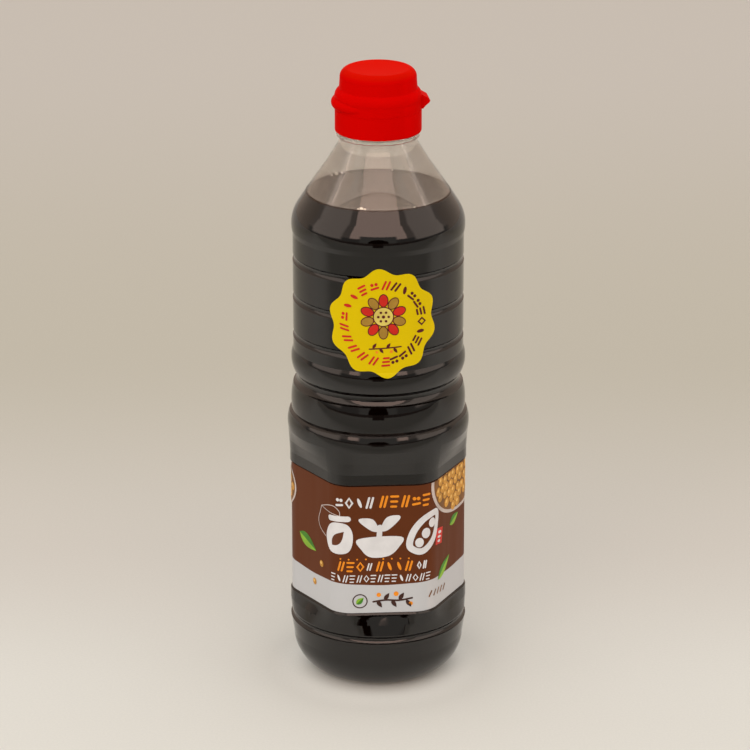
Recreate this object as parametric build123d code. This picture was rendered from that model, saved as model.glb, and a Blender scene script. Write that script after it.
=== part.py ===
"""Soy sauce bottle with a shut flip-top cap: round ribbed grip, six-sided label panel, dark sauce inside.

Millimetres, +Z up, the foot on z = 0, the axis of the bottle on the Z axis, the front towards -Y.
Heights are stacked: each Z is the one below it plus a named height, so a changed height lifts what is above.
"""

from build123d import *
import math
import os

os.makedirs("parts", exist_ok=True)

# ---- Walls and fits --------------------------------------------------------
WALL = 0.6  # blown wall of the bottle
FLOOR = 1.0  # wall under the sauce
LIQUID_GAP = 0.05  # between the sauce and the wall it lies against
LABEL_GAP = 0.02  # glue line under the label
LABEL_THICK = 0.15
LABEL_EDGE = 0.1  # bare strip of panel above and below the label
STICKER_GAP = 0.03  # glue line under the round seal
STICKER_THICK = 0.2
CAP_GAP = 0.35  # between the neck and the skirt of the cap, all round
SEAT_GAP = 0.05  # between the lip of the neck and the deck of the cap
LID_GAP = 0.15  # between the lid and the step of the cap it closes over

# ---- Foot and base ---------------------------------------------------------
FOOT_IN = 18.97  # inner edge of the flat standing ring
FOOT_W = 1.46  # width of that ring
PUSH_UP = 4.38  # height of the dome under the bottle
HEEL_R = 37.56  # radius of the body at the top of the heel
HEEL_H = 17.12
BASE_FLARE = 1.26  # how much further out the base goes above the heel
BASE_H = 7.8
GROOVE_H = 3.31  # groove round the base
GROOVE_DEPTH = 1.15
GROOVE_STEP = 0.39  # how much further in the groove ends than it starts
BASE_COLLAR = 0.57  # round strip between the groove and the first flare
BASE_COLLAR_OUT = 0.1

# ---- Six-sided label panel -------------------------------------------------
PANEL_TURN = 4.0  # how far the front facet is turned to the right, in degrees
PANEL_A = 34.54  # from the axis to a facet
PANEL_RC = 11.87  # radius of the upright rounded corners
PANEL_H = 59.36
LOW_FLARE_H = 8.83  # from the round base to the facets under the panel
LEDGE = 0.85  # how far the panel lies behind the facets above and below it
LEDGE_H = 0.8
UPPER_FACET_H = 4.55
UPPER_FLARE_H = 11.38  # from the facets above the panel to the round rim
RIM_R = 39.65

# ---- Rim, belt and waist under the grip ------------------------------------
RIM_H = 6.91
RIM_IN = 0.73  # how much the rim draws in towards its top
RIM_BOW = 0.48
STEP_H = 0.88  # the step from the rim into the groove under the belt
BELT_PROUD = 0.83  # how far the foot of the belt stands out from the grip
BELT_LIP = 0.49
BELT_LIP_H = 0.77
BELT_H = 11.39
BELT_BOW = 0.55
WAIST_H = 6.23
WAIST_BOW = 2.09
WAIST_IN = 0.34  # how much narrower than the grip the waist ends
CHEST_H = 10.11
CHEST_BOW = 1.08

# ---- Ribbed grip -----------------------------------------------------------
GRIP_R = 37.12
FIRST_RIB = 7.1  # from the chest up to the middle of the first rib groove
RIB_PITCH = 17.1
RIBS = 3
RIB_HALF = 1.75  # half the width of a rib groove
RIB_DEPTH = 0.95
LAST_RIB = 10.48  # from the middle of the last rib groove to the end of the grip

# ---- Shoulder and neck -----------------------------------------------------
COLLAR_PROUD = 0.44  # how far the foot of the shoulder stands out from the grip
COLLAR_H = 2.24
SHOULDER_H = 10.7
SHOULDER_IN = 2.19  # how much narrower than the grip the shoulder ends
SHOULDER_BOW = 0.99
CONE_H = 18.39
CONE_BOW = 0.1
CONE_OUT = 6.03  # how much wider than the neck the cone ends
THROAT_H = 8.95
THROAT_OUT = 0.58
ROOT_H = 3.02  # from the throat to the flange
NECK_R = 16.54
NECK_WALL = 1.56
FLANGE_W = 1.56  # how far the flange stands out from the neck
FLANGE_H = 1.55
FINISH_H = 11.39  # from the flange to the lip of the neck
HEADSPACE = 38.3  # from the sauce up to the lip of the neck

# ---- Cap -------------------------------------------------------------------
SKIRT_WALL = 1.74
SKIRT_LIFT = 0.68  # gap between the flange and the skirt
DECK_T = 1.46
STEP_IN = 1.21  # the lid closes over a step this far inside the skirt
STEP_UP = 2.39  # how far that step stands up inside the lid
LID_RING_H = 4.19
LID_SHOULDER_H = 4.57
LID_SHOULDER_BOW = 0.76
LID_WALL = 1.17
PARTING_BEVEL = 0.12  # small bevels on both sides of the parting line
SKIRT_ROUND = 0.5  # rounding of the foot of the skirt
BEVEL = 0.35  # bevels of the flange, the bore and the step
DOME_IN = 1.85  # how far the dome stands inside the ring
DOME_H = 4.7
DOME_ROUND_W = 3.1
DOME_ROUND_H = 4.05
DOME_ROUND_BOW = 1.0
DOME_FOOT = 0.2  # small foot where the dome leaves the shoulder of the lid
DOME_TAPER = 0.3  # how much the dome draws in on its way up
DISH_EDGE = 0.39
DISH = 0.5  # how deep the top of the lid is dished
THUMB_TURN = -83.0  # direction of the thumb lip, from the front towards +X, in degrees
THUMB_OFF = 2.92  # the lip is the edge of a lens this far off the axis
THUMB_IN = 1.31  # how much smaller than the ring that lens is
THUMB_UP = 2.73
THUMB_HALF = 2.24
THUMB_EDGE = 1.46
HINGE_TURN = 97.0
HINGE_W = 8.76

# ---- Heights and radii that follow ------------------------------------------
FOOT_OUT = FOOT_IN + FOOT_W
BASE_TOP_R = HEEL_R + BASE_FLARE
BASE_TOP_Z = HEEL_H + BASE_H
COLLAR_R = BASE_TOP_R - GROOVE_STEP + BASE_COLLAR_OUT
COLLAR_Z = BASE_TOP_Z + GROOVE_H + BASE_COLLAR
LOW_FACET_Z = COLLAR_Z + LOW_FLARE_H
PANEL_Z0 = LOW_FACET_Z + LEDGE_H
PANEL_Z1 = PANEL_Z0 + PANEL_H
UPPER_FACET_Z0 = PANEL_Z1 + LEDGE_H
UPPER_FACET_Z1 = UPPER_FACET_Z0 + UPPER_FACET_H
RIM_Z = UPPER_FACET_Z1 + UPPER_FLARE_H
STEP_Z = RIM_Z + RIM_H
BELT_Z0 = STEP_Z + STEP_H + BELT_LIP_H
BELT_Z1 = BELT_Z0 + BELT_H
WAIST_Z = BELT_Z1 + WAIST_H
CHEST_Z = WAIST_Z + CHEST_H
RIB_ZS = [CHEST_Z + FIRST_RIB + RIB_PITCH * i for i in range(RIBS)]
GRIP_Z = RIB_ZS[-1] + LAST_RIB
COLLAR_TOP_Z = GRIP_Z + COLLAR_H
SHOULDER_Z = COLLAR_TOP_Z + SHOULDER_H
CONE_Z = SHOULDER_Z + CONE_H
THROAT_Z = CONE_Z + THROAT_H
FLANGE_Z0 = THROAT_Z + ROOT_H
FLANGE_Z1 = FLANGE_Z0 + FLANGE_H
LIP_Z = FLANGE_Z1 + FINISH_H
LEVEL_Z = LIP_Z - HEADSPACE
SKIRT_R = NECK_R + CAP_GAP + SKIRT_WALL
SKIRT_Z = FLANGE_Z1 + SKIRT_LIFT
DECK_Z = LIP_Z + SEAT_GAP
PARTING_Z = DECK_Z + DECK_T - STEP_UP  # where the lid meets the base of the cap
LID_RING_Z = PARTING_Z + LID_RING_H
DOME_Z = LID_RING_Z + LID_SHOULDER_H
DOME_TOP_Z = DOME_Z + DOME_H
TOP_Z = DOME_TOP_Z + DOME_ROUND_H
DOME_R = SKIRT_R - DOME_IN
DISH_R = DOME_R - DOME_TAPER - DOME_ROUND_W - DISH_EDGE


def heading(turn):
    """Unit vector at an angle from the front (-Y) towards the right (+X)."""
    a = math.radians(turn)
    return math.sin(a), -math.cos(a)


def at(radius, turn, z):
    x, y = heading(turn)
    return Vector(radius * x, radius * y, z)


def bowed(a, b, bow):
    """Middle of an arc from a to b that bows to the right of its way by `bow`: outwards, on the way up."""
    dr, dz = b[0] - a[0], b[1] - a[1]
    run = math.hypot(dr, dz)
    return (a[0] + b[0]) / 2 + bow * dz / run, (a[1] + b[1]) / 2 - bow * dr / run


def turned(points):
    """Solid of revolution from (r, z) points; (r, z, bow) is reached by an arc. The last joins the first."""
    edges = []
    for a, b in zip(points, points[1:] + points[:1]):
        ends = [Vector(p[0], 0, p[1]) for p in (a, b)]
        if len(b) == 3:
            r, z = bowed(a, b, b[2])
            edges.append(Edge.make_three_point_arc(ends[0], Vector(r, 0, z), ends[1]))
        else:
            edges.append(Edge.make_line(*ends))
    return revolve(Face(Wire(edges)), axis=Axis.Z)


def cap_bow(half, rise):
    """Bow of the profile of a round cap of sphere that rises by `rise` over a circle of radius `half`."""
    ball = (half * half + rise * rise) / (2 * rise)
    chord = math.hypot(half, rise)
    return ball - math.sqrt(ball * ball - chord * chord / 4)


def ring(radii, mid_half, z, arc_facets):
    """Six-sided wire. radii are to the middle of a facet, its end and the middle of a corner."""
    facet, end, corner = radii
    edges = []
    for k in range(6):
        mid = PANEL_TURN + 60 * k
        p0 = at(end, mid - mid_half, z)
        p1 = at(end, mid + mid_half, z)
        p2 = at(end, mid + 60 - mid_half, z)
        if arc_facets:
            edges.append(Edge.make_three_point_arc(p0, at(facet, mid, z), p1))
        else:
            edges.append(Edge.make_line(p0, p1))
        edges.append(Edge.make_three_point_arc(p1, at(corner, mid + 30, z), p2))
    return Wire(edges)


def facet_half(a, rc):
    """Half the angle that a facet takes, seen from the axis."""
    return math.degrees(math.atan2((a - rc) * math.tan(math.radians(30)), a))


def hexagon_radii(a, rc):
    end = a / math.cos(math.radians(facet_half(a, rc)))
    return a, end, (a - rc) / math.cos(math.radians(30)) + rc


def hexagon(a, rc, z):
    """Flat facets at distance a from the axis, joined by upright corners of radius rc."""
    return ring(hexagon_radii(a, rc), facet_half(a, rc), z, False)


def between(a, rc, r, share, z):
    """Section part-way from that hexagon to a circle of radius r."""
    radii = [one + (r - one) * share for one in hexagon_radii(a, rc)]
    return ring(radii, facet_half(a, rc), z, True)


def foot_body(t, floor):
    """Round base up to where the first flare begins, t inside the outer skin."""
    heel_bow = HEEL_H * (1 - math.cos(math.radians(45)))
    return turned([
        (0, PUSH_UP + floor),
        (FOOT_IN, floor, -cap_bow(FOOT_IN, PUSH_UP)),
        (FOOT_OUT, floor),
        (HEEL_R - t, HEEL_H, heel_bow - t / 2),
        (BASE_TOP_R - t, BASE_TOP_Z),
        (BASE_TOP_R - GROOVE_STEP - t, BASE_TOP_Z + GROOVE_H, -GROOVE_DEPTH),
        (COLLAR_R - t, COLLAR_Z),
        (0, COLLAR_Z),
    ])


def panel_body(t):
    """Flares and six-sided panel between the round base and the round rim."""
    a, rc = PANEL_A - t, PANEL_RC - t
    wide, wide_rc = a + LEDGE, rc + LEDGE
    low, high = COLLAR_R - t, RIM_R - t
    return Solid.make_loft(
        [
            between(wide, wide_rc, low, 1, COLLAR_Z),
            between(wide, wide_rc, low + 0.5, 0.45, COLLAR_Z + LOW_FLARE_H / 2),
            hexagon(wide, wide_rc, LOW_FACET_Z),
            hexagon(a, rc, PANEL_Z0),
            hexagon(a, rc, PANEL_Z1),
            hexagon(wide, wide_rc, UPPER_FACET_Z0),
            hexagon(wide, wide_rc, UPPER_FACET_Z1),
            between(wide, wide_rc, high, 0.42, UPPER_FACET_Z1 + UPPER_FLARE_H * 0.48),
            between(wide, wide_rc, high, 1, RIM_Z),
        ],
        ruled=True,
    )


def grip_profile(t, ribs):
    """(r, z) points from the waist to the end of the cone, with or without the rib grooves."""
    pts = [
        (GRIP_R - WAIST_IN - t, WAIST_Z, -WAIST_BOW),
        (GRIP_R - t, CHEST_Z, CHEST_BOW),
    ]
    for z in RIB_ZS if ribs else []:
        pts += [(GRIP_R - t, z - RIB_HALF), (GRIP_R - t, z + RIB_HALF, -RIB_DEPTH)]
    return pts + [
        (GRIP_R - t, GRIP_Z),
        (GRIP_R + COLLAR_PROUD - t, COLLAR_TOP_Z),
        (GRIP_R - SHOULDER_IN - t, SHOULDER_Z, SHOULDER_BOW),
        (NECK_R + CONE_OUT - t, CONE_Z, CONE_BOW),
    ]


def upper_body(t, top):
    """Rim, belt, waist, ribbed grip, shoulder and neck, t inside the outer skin, up to `top`."""
    neck = NECK_R - (NECK_WALL if t else 0)
    belt = GRIP_R + BELT_PROUD - t
    return turned([
        (0, RIM_Z),
        (RIM_R - t, RIM_Z),
        (RIM_R - RIM_IN - t, STEP_Z, RIM_BOW),
        (belt - BELT_LIP, STEP_Z + STEP_H),
        (belt, BELT_Z0),
        (GRIP_R - t, BELT_Z1, BELT_BOW),
        *grip_profile(t, True),
        (NECK_R + THROAT_OUT - t, THROAT_Z),
        (neck, FLANGE_Z0),
        (neck, top),
        (0, top),
    ])


def whole_body(t, floor, top):
    return foot_body(t, floor) + panel_body(t) + upper_body(t, top)


def make_bottle():
    """Outer skin and transfer flange, less the inside."""
    root = NECK_R - NECK_WALL / 2
    rim = NECK_R + FLANGE_W
    flange = turned([
        (root, FLANGE_Z0),
        (rim - BEVEL, FLANGE_Z0),
        (rim, FLANGE_Z0 + BEVEL),
        (rim, FLANGE_Z1 - BEVEL),
        (rim - BEVEL, FLANGE_Z1),
        (root, FLANGE_Z1),
    ])
    inside = whole_body(WALL, FLOOR, LIP_Z + 2)
    return whole_body(0, 0, LIP_Z) + flange - inside


def make_sauce():
    """Fills the inside up to the level."""
    pool = whole_body(WALL + LIQUID_GAP, FLOOR + LIQUID_GAP, LIP_Z)
    side, height = 3 * RIM_R, 2 * LIP_Z
    return pool - Pos(0, 0, LEVEL_Z + height / 2) * Box(side, side, height)


def make_label():
    """A closed band round the six-sided panel."""
    a, rc = PANEL_A + LABEL_GAP, PANEL_RC + LABEL_GAP
    low, high = PANEL_Z0 + LABEL_EDGE, PANEL_Z1 - LABEL_EDGE
    t = LABEL_THICK
    outside = Solid.make_loft([hexagon(a + t, rc + t, z) for z in (low, high)], ruled=True)
    bore = Solid.make_loft([hexagon(a, rc, z) for z in (low - 1, high + 1)], ruled=True)
    return outside - bore


# ---- Round seal with ten lobes, stuck over the ribs --------------------------
SEAL_TURN = 3.4  # direction of its middle
SEAL_DROP = 2.05  # how far its middle lies under the middle rib groove
SEAL_R = 23.35  # mean radius of the outline, measured along the skin
SEAL_WAVE = 1.2
SEAL_LOBES = 10
SEAL_FIRST = 95.0  # direction of one lobe, anticlockwise from the right, in degrees


def seal_outline(count):
    """Points of the lobed outline, laid on the skin and looked at from the front."""
    middle = RIB_ZS[RIBS // 2] - SEAL_DROP
    pts = []
    for i in range(count):
        phi = 360 * i / count
        r = SEAL_R + SEAL_WAVE * math.cos(math.radians(SEAL_LOBES * (phi - SEAL_FIRST)))
        u = r * math.cos(math.radians(phi))
        v = r * math.sin(math.radians(phi))
        turn = math.radians(SEAL_TURN) + u / GRIP_R
        pts.append(Vector(GRIP_R * math.sin(turn), 0, middle + v))
    return pts


def skin(d):
    """Body of revolution d outside the grip, bridging the rib grooves."""
    inner = (0, BELT_Z1)
    outer = grip_profile(-d, False)
    return turned([inner, (GRIP_R + d, BELT_Z1), *outer, (0, CONE_Z)])


def make_seal():
    outline = Face(Wire(Edge.make_spline(seal_outline(120), periodic=True)))
    stamp = extrude(outline, amount=2 * RIM_R, dir=(0, -1, 0))
    return (skin(STICKER_GAP + STICKER_THICK) - skin(STICKER_GAP)) & stamp


def make_cap_base():
    """Skirt over the neck, deck over the lip, step for the lid."""
    bore = NECK_R + CAP_GAP
    step = SKIRT_R - STEP_IN
    return turned([
        (0, DECK_Z),
        (bore, DECK_Z),
        (bore, SKIRT_Z + BEVEL),
        (bore + BEVEL, SKIRT_Z),
        (SKIRT_R - SKIRT_ROUND, SKIRT_Z),
        (SKIRT_R, SKIRT_Z + SKIRT_ROUND, 0.29 * SKIRT_ROUND),
        (SKIRT_R, PARTING_Z - PARTING_BEVEL),
        (SKIRT_R - PARTING_BEVEL, PARTING_Z),
        (step, PARTING_Z),
        (step, DECK_Z + DECK_T - BEVEL),
        (step - BEVEL, DECK_Z + DECK_T),
        (0, DECK_Z + DECK_T),
    ])


def make_hinge():
    """Knuckle of the flap's hinge, on the ring of the lid."""
    knuckle = [  # out from the skirt and up from the parting line
        (-1.6, 6.13),
        (-0.14, 6.13),
        (2.68, 4.48),
        (3.26, 3.51),
        (2.87, 2.63),
        (1.22, 1.27),
        (0.25, 0),
        (-1.6, 0),
    ]
    face = Face(Wire.make_polygon([Vector(SKIRT_R + r, 0, PARTING_Z + z) for r, z in knuckle]))
    return Rot(0, 0, HINGE_TURN - 90) * extrude(face, amount=HINGE_W / 2, dir=(0, 1, 0), both=True)


def make_thumb():
    """Lens whose edge stands out of the ring as the thumb lip."""
    r = SKIRT_R - THUMB_IN
    z = PARTING_Z + THUMB_UP
    edge = r - THUMB_EDGE
    lens = turned([
        (0, z - THUMB_HALF),
        (edge, z - THUMB_HALF),
        (edge, z + THUMB_HALF, THUMB_EDGE),
        (0, z + THUMB_HALF),
    ])
    return Pos(*at(THUMB_OFF, THUMB_TURN, 0)) * lens


def make_cap_lid():
    """Ring, dome with a dished top, thumb lip and hinge knuckle, hollow inside."""
    body = turned([
        (0, PARTING_Z),
        (SKIRT_R - PARTING_BEVEL, PARTING_Z),
        (SKIRT_R, PARTING_Z + PARTING_BEVEL),
        (SKIRT_R, LID_RING_Z),
        (DOME_R + DOME_FOOT, DOME_Z, LID_SHOULDER_BOW),
        (DOME_R, DOME_Z + 2 * DOME_FOOT),
        (DOME_R - DOME_TAPER, DOME_TOP_Z),
        (DOME_R - DOME_ROUND_W - DOME_TAPER, TOP_Z, DOME_ROUND_BOW),
        (DISH_R, TOP_Z),
        (0, TOP_Z - DISH, -cap_bow(DISH_R, DISH)),
    ])
    bore = SKIRT_R - STEP_IN + LID_GAP
    inner = DOME_R - DOME_TAPER - LID_WALL
    ceiling = TOP_Z - DISH - LID_WALL
    hollow = turned([
        (0, PARTING_Z - 1),
        (bore, PARTING_Z - 1),
        (bore, LID_RING_Z - LID_WALL / 2),
        (inner, DOME_Z - LID_WALL),
        (inner, DOME_TOP_Z),
        (inner - DOME_ROUND_W / 2, ceiling),
        (0, ceiling),
    ])
    return body + make_thumb() + make_hinge() - hollow


def write(name, shape):
    solids = shape.solids()
    whole = solids[0] if len(solids) == 1 else Compound(children=list(solids))
    print(name, "solids", len(solids), "volume", round(sum(s.volume for s in solids)))
    export_step(whole, f"parts/{name}.step")


write("bottle", make_bottle())
write("soy_sauce", make_sauce())
write("label", make_label())
write("seal_sticker", make_seal())
write("cap_base", make_cap_base())
write("cap_lid", make_cap_lid())
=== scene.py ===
# %% [markdown]
# # A soy sauce bottle, dressed in Blender
# The CAD model gives the real sizes of six pieces: a blown bottle, the sauce in it, a label band, a round
# seal and a cap in two parts. This lesson gives each of them its finish, puts a smooth body of sauce where
# the plain CAD solid is, and prints the label and the seal with thin raised shapes of ink.

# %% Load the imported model
import math
import random

import bmesh
import bpy
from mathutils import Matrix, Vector
from mathutils.bvhtree import BVHTree


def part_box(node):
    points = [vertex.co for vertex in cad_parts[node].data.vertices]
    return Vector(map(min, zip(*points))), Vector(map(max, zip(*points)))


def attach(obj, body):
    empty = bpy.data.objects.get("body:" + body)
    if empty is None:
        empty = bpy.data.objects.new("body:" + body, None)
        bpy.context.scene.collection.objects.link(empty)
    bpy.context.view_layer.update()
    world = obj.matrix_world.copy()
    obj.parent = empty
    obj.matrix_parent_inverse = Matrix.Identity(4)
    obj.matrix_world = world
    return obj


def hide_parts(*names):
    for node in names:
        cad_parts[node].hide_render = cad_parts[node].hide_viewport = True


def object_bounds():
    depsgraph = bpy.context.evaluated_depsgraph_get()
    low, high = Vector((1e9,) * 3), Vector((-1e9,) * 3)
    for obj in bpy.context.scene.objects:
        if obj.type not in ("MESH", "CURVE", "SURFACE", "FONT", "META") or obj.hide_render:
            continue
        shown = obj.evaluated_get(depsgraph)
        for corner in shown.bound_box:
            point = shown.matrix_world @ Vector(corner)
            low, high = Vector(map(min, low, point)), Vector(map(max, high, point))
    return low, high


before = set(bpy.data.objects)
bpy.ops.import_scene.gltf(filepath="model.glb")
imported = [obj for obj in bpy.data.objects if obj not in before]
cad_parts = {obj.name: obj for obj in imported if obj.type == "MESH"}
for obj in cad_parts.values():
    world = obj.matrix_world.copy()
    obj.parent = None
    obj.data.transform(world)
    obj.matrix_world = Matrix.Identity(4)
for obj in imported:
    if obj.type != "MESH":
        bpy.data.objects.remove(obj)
cad_low, cad_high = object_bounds()
HEIGHT = cad_high.z
MM = 0.001
print("nodes:", sorted(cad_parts), "height in mm:", round(HEIGHT / MM, 1))

# %% [markdown]
# ## Camera
# A long lens from almost two metres away keeps upright lines upright, as in catalogue pictures. The camera
# looks at the middle of the bottle from a little above, so that the top of the cap and the surface of the
# sauce both show. The lens is set in millimetres on a 36 mm wide sensor.

# %% Camera
CAMERA_TILT = math.radians(19.8)
CAMERA_DISTANCE = 1.7493
CAMERA_LENS = 192.0
CAMERA_AIM = 0.4962  # how far up the bottle it looks, as a share of the height
CAMERA_SHIFT = (-0.0043, -0.0007)


def make_camera():
    data = bpy.data.cameras.new("camera")
    data.lens = CAMERA_LENS
    data.sensor_width = 36.0
    data.shift_x, data.shift_y = CAMERA_SHIFT
    camera = bpy.data.objects.new("camera", data)
    bpy.context.scene.collection.objects.link(camera)
    backwards = Vector((0, -math.cos(CAMERA_TILT), math.sin(CAMERA_TILT)))
    camera.location = Vector((0, 0, HEIGHT * CAMERA_AIM)) + backwards * CAMERA_DISTANCE
    camera.rotation_euler = (math.pi / 2 - CAMERA_TILT, 0, 0)
    bpy.context.scene.camera = camera
    print("camera at", tuple(round(v, 3) for v in camera.location))


make_camera()
bpy.context.scene.view_settings.view_transform = "Standard"

# %% [markdown]
# ## Small tools for node materials
# Every finish below is a tree of shader nodes. Writing them by hand takes many lines, so a `Tree` object
# adds a node, sets its plain values and links its inputs in one call. Plain values go straight on the
# sockets, because a value that is the same everywhere needs no node of its own.

# %% Node helper
class Tree:
    """Adds nodes to a material or a world with short calls."""

    def __init__(self, owner):
        owner.use_nodes = True
        self.tree = owner.node_tree
        self.tree.nodes.clear()

    def add(self, kind, settings=None, **inputs):
        """A node of that kind; inputs are named with _ for a space, or numbered in0, in1."""
        node = self.tree.nodes.new("ShaderNode" + kind)
        for name, value in (settings or {}).items():
            setattr(node, name, value)
        for name, value in inputs.items():
            if name[:2] == "in" and name[2:].isdigit():
                socket = node.inputs[int(name[2:])]
            else:
                socket = node.inputs[name.replace("_", " ")]
            if isinstance(value, bpy.types.NodeSocket):
                self.tree.links.new(value, socket)
            else:
                socket.default_value = value
        return node

    def math(self, operation, a, b=0.0, c=0.0):
        return self.add("Math", {"operation": operation}, in0=a, in1=b, in2=c).outputs[0]

    def ramp(self, value, low, high, out_low=0.0, out_high=1.0, smooth=True):
        """The value from low..high carried to out_low..out_high, held at both ends."""
        node = self.add("MapRange", None, Value=value, From_Min=low, From_Max=high)
        node.interpolation_type = "SMOOTHSTEP" if smooth else "LINEAR"
        node.inputs["To Min"].default_value = out_low
        node.inputs["To Max"].default_value = out_high
        return node.outputs["Result"]

    def mix(self, factor, a, b):
        node = self.add("Mix", {"data_type": "RGBA"})
        for index, value in ((0, factor), (6, a), (7, b)):
            if isinstance(value, bpy.types.NodeSocket):
                self.tree.links.new(value, node.inputs[index])
            else:
                node.inputs[index].default_value = value
        return node.outputs[2]

    def noise(self, scale, detail=2.0, rough=0.5, stretch=(1, 1, 1)):
        """Noise in the piece's own space, stretched along X, Y and Z."""
        place = self.add("TexCoord").outputs["Object"]
        place = self.add("Mapping", None, Vector=place, Scale=stretch).outputs[0]
        made = self.add("TexNoise", None, Vector=place, Scale=scale, Detail=detail, Roughness=rough)
        return made.outputs[0]

    def bump(self, height, strength, distance):
        return self.add("Bump", None, Height=height, Strength=strength, Distance=distance).outputs[0]

# %% [markdown]
# Every material starts with the same few steps, so they get short names too. `dress` swaps the material of
# a CAD node and leaves its mesh alone, because the exact CAD surface is already smooth enough.

# %% Material helpers
def rgb(r, g, b):
    return (r, g, b, 1.0)


def new_material(name):
    material = bpy.data.materials.new(name)
    return material, Tree(material)


def finish_surface(tree, shader):
    output = tree.add("OutputMaterial")
    tree.tree.links.new(shader, output.inputs["Surface"])


def dress(node_name, material):
    """Gives a CAD node one material; its mesh stays as it is."""
    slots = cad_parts[node_name].data.materials
    slots.clear()
    slots.append(material)
    print("dressed", node_name, "in", material.name)


def link_piece(name, mesh):
    piece = bpy.data.objects.new(name, mesh)
    bpy.context.scene.collection.objects.link(piece)
    return piece


# %% [markdown]
# ## Floor
# The bottle stands on a wide pale sweep of card. Its colour is what makes the background pale, not extra
# light, so the bottle keeps its own brightness. The card is warm all over, and soft gradients in its colour
# make it a little darker behind the bottle: that is painted shade. Ahead of the bottle, out of view, it turns
# grey and then dark: the glossy wall mirrors that part, so it decides how black the sauce looks.

# %% Floor colours
FLOOR_HALF = 6.0
CARD_START = rgb(0.685, 0.655, 0.578)
# Painted shade: these bands make the card darker behind the bottle, then a little lighter far back.
PAINTED_SHADE_BEHIND = (  # from and to, in metres behind the bottle, and the colour that the card has from there on
    (-0.04, 0.15, rgb(0.585, 0.54, 0.468)),
    (0.10, 0.42, rgb(0.484, 0.443, 0.356)),
    (0.45, 1.05, rgb(0.52, 0.474, 0.408)),
)
CARD_AHEAD = (  # the same, in metres ahead of the bottle
    (0.12, 0.3, rgb(0.40, 0.385, 0.33)),
    (1.15, 1.35, rgb(0.06, 0.055, 0.05)),
)
print("bands of card:", len(PAINTED_SHADE_BEHIND) + len(CARD_AHEAD))

# %% [markdown]
# Two details sit on top of the bands. Close to the foot the card is paler: a painted pool of light that
# offsets the shade that the heel throws. And a narrow black strip runs ahead from 0.8 m on, as if a dark gap
# stood between two tables: it draws the black notch in the belt. A fine fibre noise keeps the card from
# looking computed.

# %% Card
# Painted light: a paler patch of card round the foot, against the shade of the heel.
FOOT_PAINTED_LIGHT = rgb(0.82, 0.79, 0.705)
FOOT_FROM = 0.032
FOOT_TO = 0.050
FOOT_AHEAD = 0.004
STRIP_COLOUR = rgb(0.004, 0.004, 0.004)


def card_colour(t, place):
    y = place.outputs["Y"]
    colour = CARD_START
    # painted shade behind the bottle
    for start, end, tint in PAINTED_SHADE_BEHIND:
        colour = t.mix(t.ramp(y, start, end), colour, tint)
    ahead = t.math("MULTIPLY", y, -1.0)
    width = t.math("POWER", place.outputs["X"], 2.0)
    length = t.math("POWER", t.math("ADD", y, FOOT_AHEAD), 2.0)
    around = t.math("SQRT", t.math("ADD", width, length))
    # painted light near the foot, which offsets the heel's shade
    colour = t.mix(t.ramp(around, FOOT_FROM, FOOT_TO, 1, 0), colour, FOOT_PAINTED_LIGHT)
    for start, end, tint in CARD_AHEAD:
        colour = t.mix(t.ramp(ahead, start, end), colour, tint)
    far = t.math("MAXIMUM", ahead, 0.01)
    aside = t.math("DIVIDE", t.math("ABSOLUTE", place.outputs["X"]), far)
    strip = t.math("MULTIPLY", t.ramp(aside, 0.115, 0.145, 1, 0), t.ramp(ahead, 0.72, 0.8))
    return t.mix(strip, colour, STRIP_COLOUR)


def card_material():
    material, t = new_material("pale_card")
    place = t.add("SeparateXYZ", None, Vector=t.add("TexCoord").outputs["Object"])
    colour = card_colour(t, place)
    fibre = t.ramp(t.noise(900, 3.0), 0.3, 0.7, 0.985, 1.015)
    colour = t.add("HueSaturation", None, Color=colour, Value=fibre).outputs[0]
    shader = t.add("BsdfPrincipled", None, Base_Color=colour, Roughness=0.9, IOR=1.3)
    finish_surface(t, shader.outputs[0])
    return material


# %% [markdown]
# The floor itself is one large face.

# %% Floor
def make_floor():
    mesh = bpy.data.meshes.new("floor")
    turns = ((-1, -1), (1, -1), (1, 1), (-1, 1))
    mesh.from_pydata([(x * FLOOR_HALF, y * FLOOR_HALF, 0) for x, y in turns], [], [(0, 1, 2, 3)])
    mesh.materials.append(card_material())
    floor = link_piece("floor", mesh)
    print("floor of", 2 * FLOOR_HALF, "m a side")


make_floor()

# %% [markdown]
# ## Light
# A dark glossy bottle is drawn by what it mirrors, so the surroundings matter more here than the lamps.
# The world below is a simple studio: a bright panel that leans over the front, a dimmer one on either side,
# a dark gap where a camera would stand, and a pale wall behind. All places are directions, in degrees: a
# turn from the front, to either side, and a rise above the horizon.

# %% Studio panels
PANEL_FROM = 7.0
PANEL_TO = 11.0
PANEL_HALF = 38.0
PANEL_LIGHT = rgb(2.85, 2.05, 1.72)
SIDE_FROM = 50.0
SIDE_TO = 96.0
SIDE_LIGHT = rgb(1.45, 1.20, 1.04)
FRONT_HALF = 104.0
FRONT_LOW = rgb(0.28, 0.265, 0.24)
FRONT_HIGH = rgb(0.70, 0.58, 0.50)
WALL_LIGHT = rgb(0.66, 0.52, 0.42)
CEILING_LIGHT = rgb(1.3, 1.15, 1.05)
PORCH_TOP = 18.0
PORCH_LIGHT = rgb(0.45, 0.43, 0.39)
GAP_HALF = 13.0
GAP_TOP = 9.0
GAP_LIGHT = rgb(0.002, 0.002, 0.002)
print("front panel:", 2 * PANEL_HALF, "degrees wide, gap:", 2 * GAP_HALF)

# %% [markdown]
# The panels are laid over each other from the back to the front, like sheets of card: the wall and the low
# front first, then the side panels, the main panel, the ceiling, a dim porch and the black gap in it.

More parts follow.
